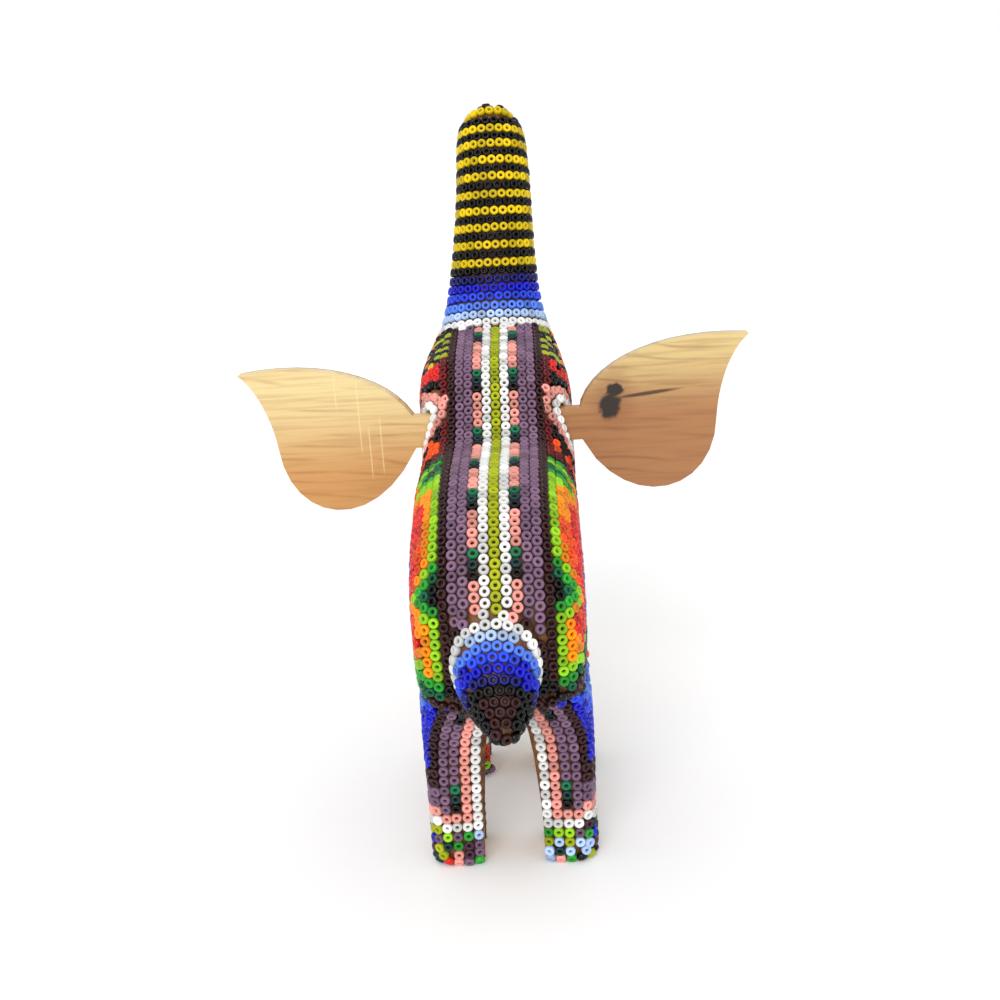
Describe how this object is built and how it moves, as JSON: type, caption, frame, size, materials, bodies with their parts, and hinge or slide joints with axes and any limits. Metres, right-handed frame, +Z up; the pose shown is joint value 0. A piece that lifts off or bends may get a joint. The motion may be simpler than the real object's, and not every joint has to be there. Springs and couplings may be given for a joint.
{
  "type": "beaded elephant figure",
  "caption": "Standing elephant with a raised trunk, carved wood covered in glass seed beads set in wax, with two push-in wooden ears.",
  "frame": {"origin": "on the resting plane of the soles, under the middle of the figure's bounding box", "axes": "+Z up, the elephant faces +Y, +X to its right"},
  "size_m": [0.1111, 0.1168, 0.148],
  "materials": {
    "carved_wood": "pale carved softwood, bare on the soles, inner legs and belly",
    "ear_wood_left": "thin varnished board, pale straw",
    "ear_wood_right": "thin varnished board, browner with a knot",
    "beeswax": "thin amber-brown beeswax, stood in for by a matt plastic",
    "tail_glass": "opaque glossy glass seed beads, blue arcs to a dark tip",
    "back_glass": "opaque glossy glass seed beads in lengthwise columns",
    "flank_glass": "opaque glossy glass seed beads, flame zigzags",
    "cheek_glass": "opaque glossy glass seed beads, black and red with oblique stripes",
    "slot_glass": "opaque glossy glass seed beads, white and pink rings",
    "chest_glass": "opaque glossy glass seed beads, flame chevrons",
    "mouth_glass": "opaque glossy glass seed beads, red",
    "band_glass": "opaque glossy glass seed beads, white to navy rings",
    "trunk_glass": "opaque glossy glass seed beads, yellow and black rings",
    "leg_glass": "opaque glossy glass seed beads in upright columns",
    "foot_glass": "opaque glossy glass seed beads, mixed colours",
    "ear_glass": "opaque glossy glass seed beads, flame rings"
  },
  "bodies": {
    "figure": {"wood_body": "carved_wood", "body_wax": "beeswax", "leg_wax": "beeswax", "tail_beads": "tail_glass", "back_beads": "back_glass", "chest_beads": "chest_glass", "mouth_beads": "mouth_glass", "trunk_base_beads": "band_glass", "trunk_beads": "trunk_glass", "flank_beads_left": "flank_glass", "cheek_beads_left": "cheek_glass", "ear_slot_beads_left": "slot_glass", "hind_leg_beads_left": "leg_glass", "hind_foot_beads_left": "foot_glass", "front_leg_beads_left": "leg_glass", "front_foot_beads_left": "foot_glass", "flank_beads_right": "flank_glass", "cheek_beads_right": "cheek_glass", "ear_slot_beads_right": "slot_glass", "hind_leg_beads_right": "leg_glass", "hind_foot_beads_right": "foot_glass", "front_leg_beads_right": "leg_glass", "front_foot_beads_right": "foot_glass"},
    "ear_left_part": {"ear_left": "ear_wood_left", "ear_wax_left": "beeswax", "ear_beads_left": "ear_glass"},
    "ear_right_part": {"ear_right": "ear_wood_right", "ear_wax_right": "beeswax", "ear_beads_right": "ear_glass"}
  },
  "joints": [
    {"name": "ear_left_pull", "type": "slide", "parent": "figure", "child": "ear_left_part", "axis": [-1, 0, 0], "range_m": [0, 0.012]},
    {"name": "ear_right_pull", "type": "slide", "parent": "figure", "child": "ear_right_part", "axis": [1, 0, 0], "range_m": [0, 0.012]}
  ]
}
